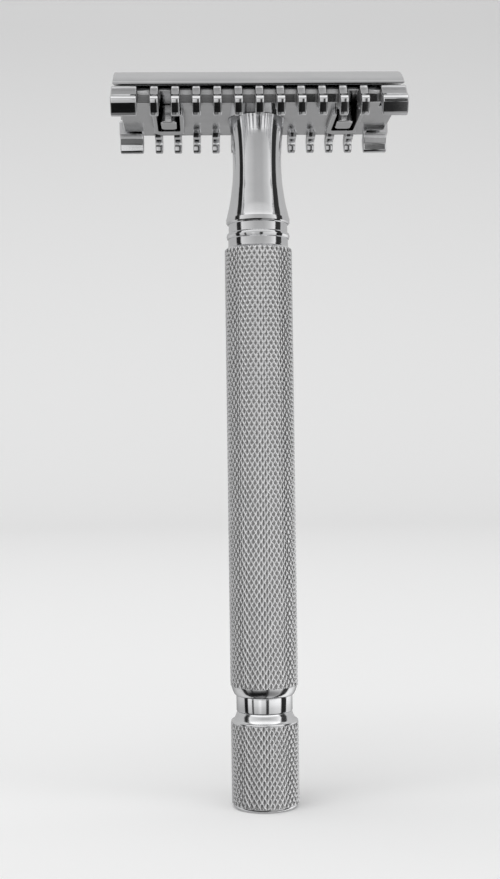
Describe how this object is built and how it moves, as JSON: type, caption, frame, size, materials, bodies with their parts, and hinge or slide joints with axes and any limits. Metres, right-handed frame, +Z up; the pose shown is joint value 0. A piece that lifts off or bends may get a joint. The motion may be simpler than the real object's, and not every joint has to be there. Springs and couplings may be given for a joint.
{
  "type": "safety razor",
  "caption": "Open comb double-edge safety razor with a knurled handle; turning the end knob draws the clamping cap down or lets it rise to change the blade.",
  "frame": {"origin": "centre of the flat end of the knob, at the bottom of the handle", "axes": "+Z up along the handle towards the head, X along the head's long side, -Y the side of the head that faces the viewer"},
  "size_m": [0.043, 0.0266, 0.1113],
  "materials": {
    "chrome_plate": "polished chrome plate, diamond knurled on the grip and the knob",
    "blade_steel": "ground stainless steel",
    "rod_steel": "turned steel",
    "washer_brass": "turned brass"
  },
  "bodies": {
    "handle": {"base_plate": "chrome_plate", "neck": "chrome_plate", "knurled_barrel": "chrome_plate", "waist_collar": "chrome_plate"},
    "knob": {"end_knob": "chrome_plate", "thrust_washer": "washer_brass", "draw_rod": "rod_steel", "retaining_clip": "rod_steel", "thread_socket": "washer_brass"},
    "cap": {"top_cap": "chrome_plate", "cap_stud": "rod_steel"},
    "blade_body": {"blade": "blade_steel"}
  },
  "joints": [
    {"name": "knob_turn", "type": "hinge", "parent": "handle", "child": "knob", "pos_m": [0, 0, 0.007], "axis": [0, 0, -1], "range_deg": [0, 3600]},
    {"name": "cap_lift", "type": "slide", "parent": "handle", "child": "cap", "axis": [0, 0, 1], "range_m": [0, 0.008]},
    {"name": "blade_lift", "type": "slide", "parent": "handle", "child": "blade_body", "axis": [0, 0, 1], "range_m": [0, 0.004]}
  ],
  "couplings": [
    {"joint": "cap_lift", "follows": "knob_turn", "m_per_rad": 0.00012732},
    {"joint": "blade_lift", "follows": "knob_turn", "m_per_rad": 0.00006366}
  ]
}
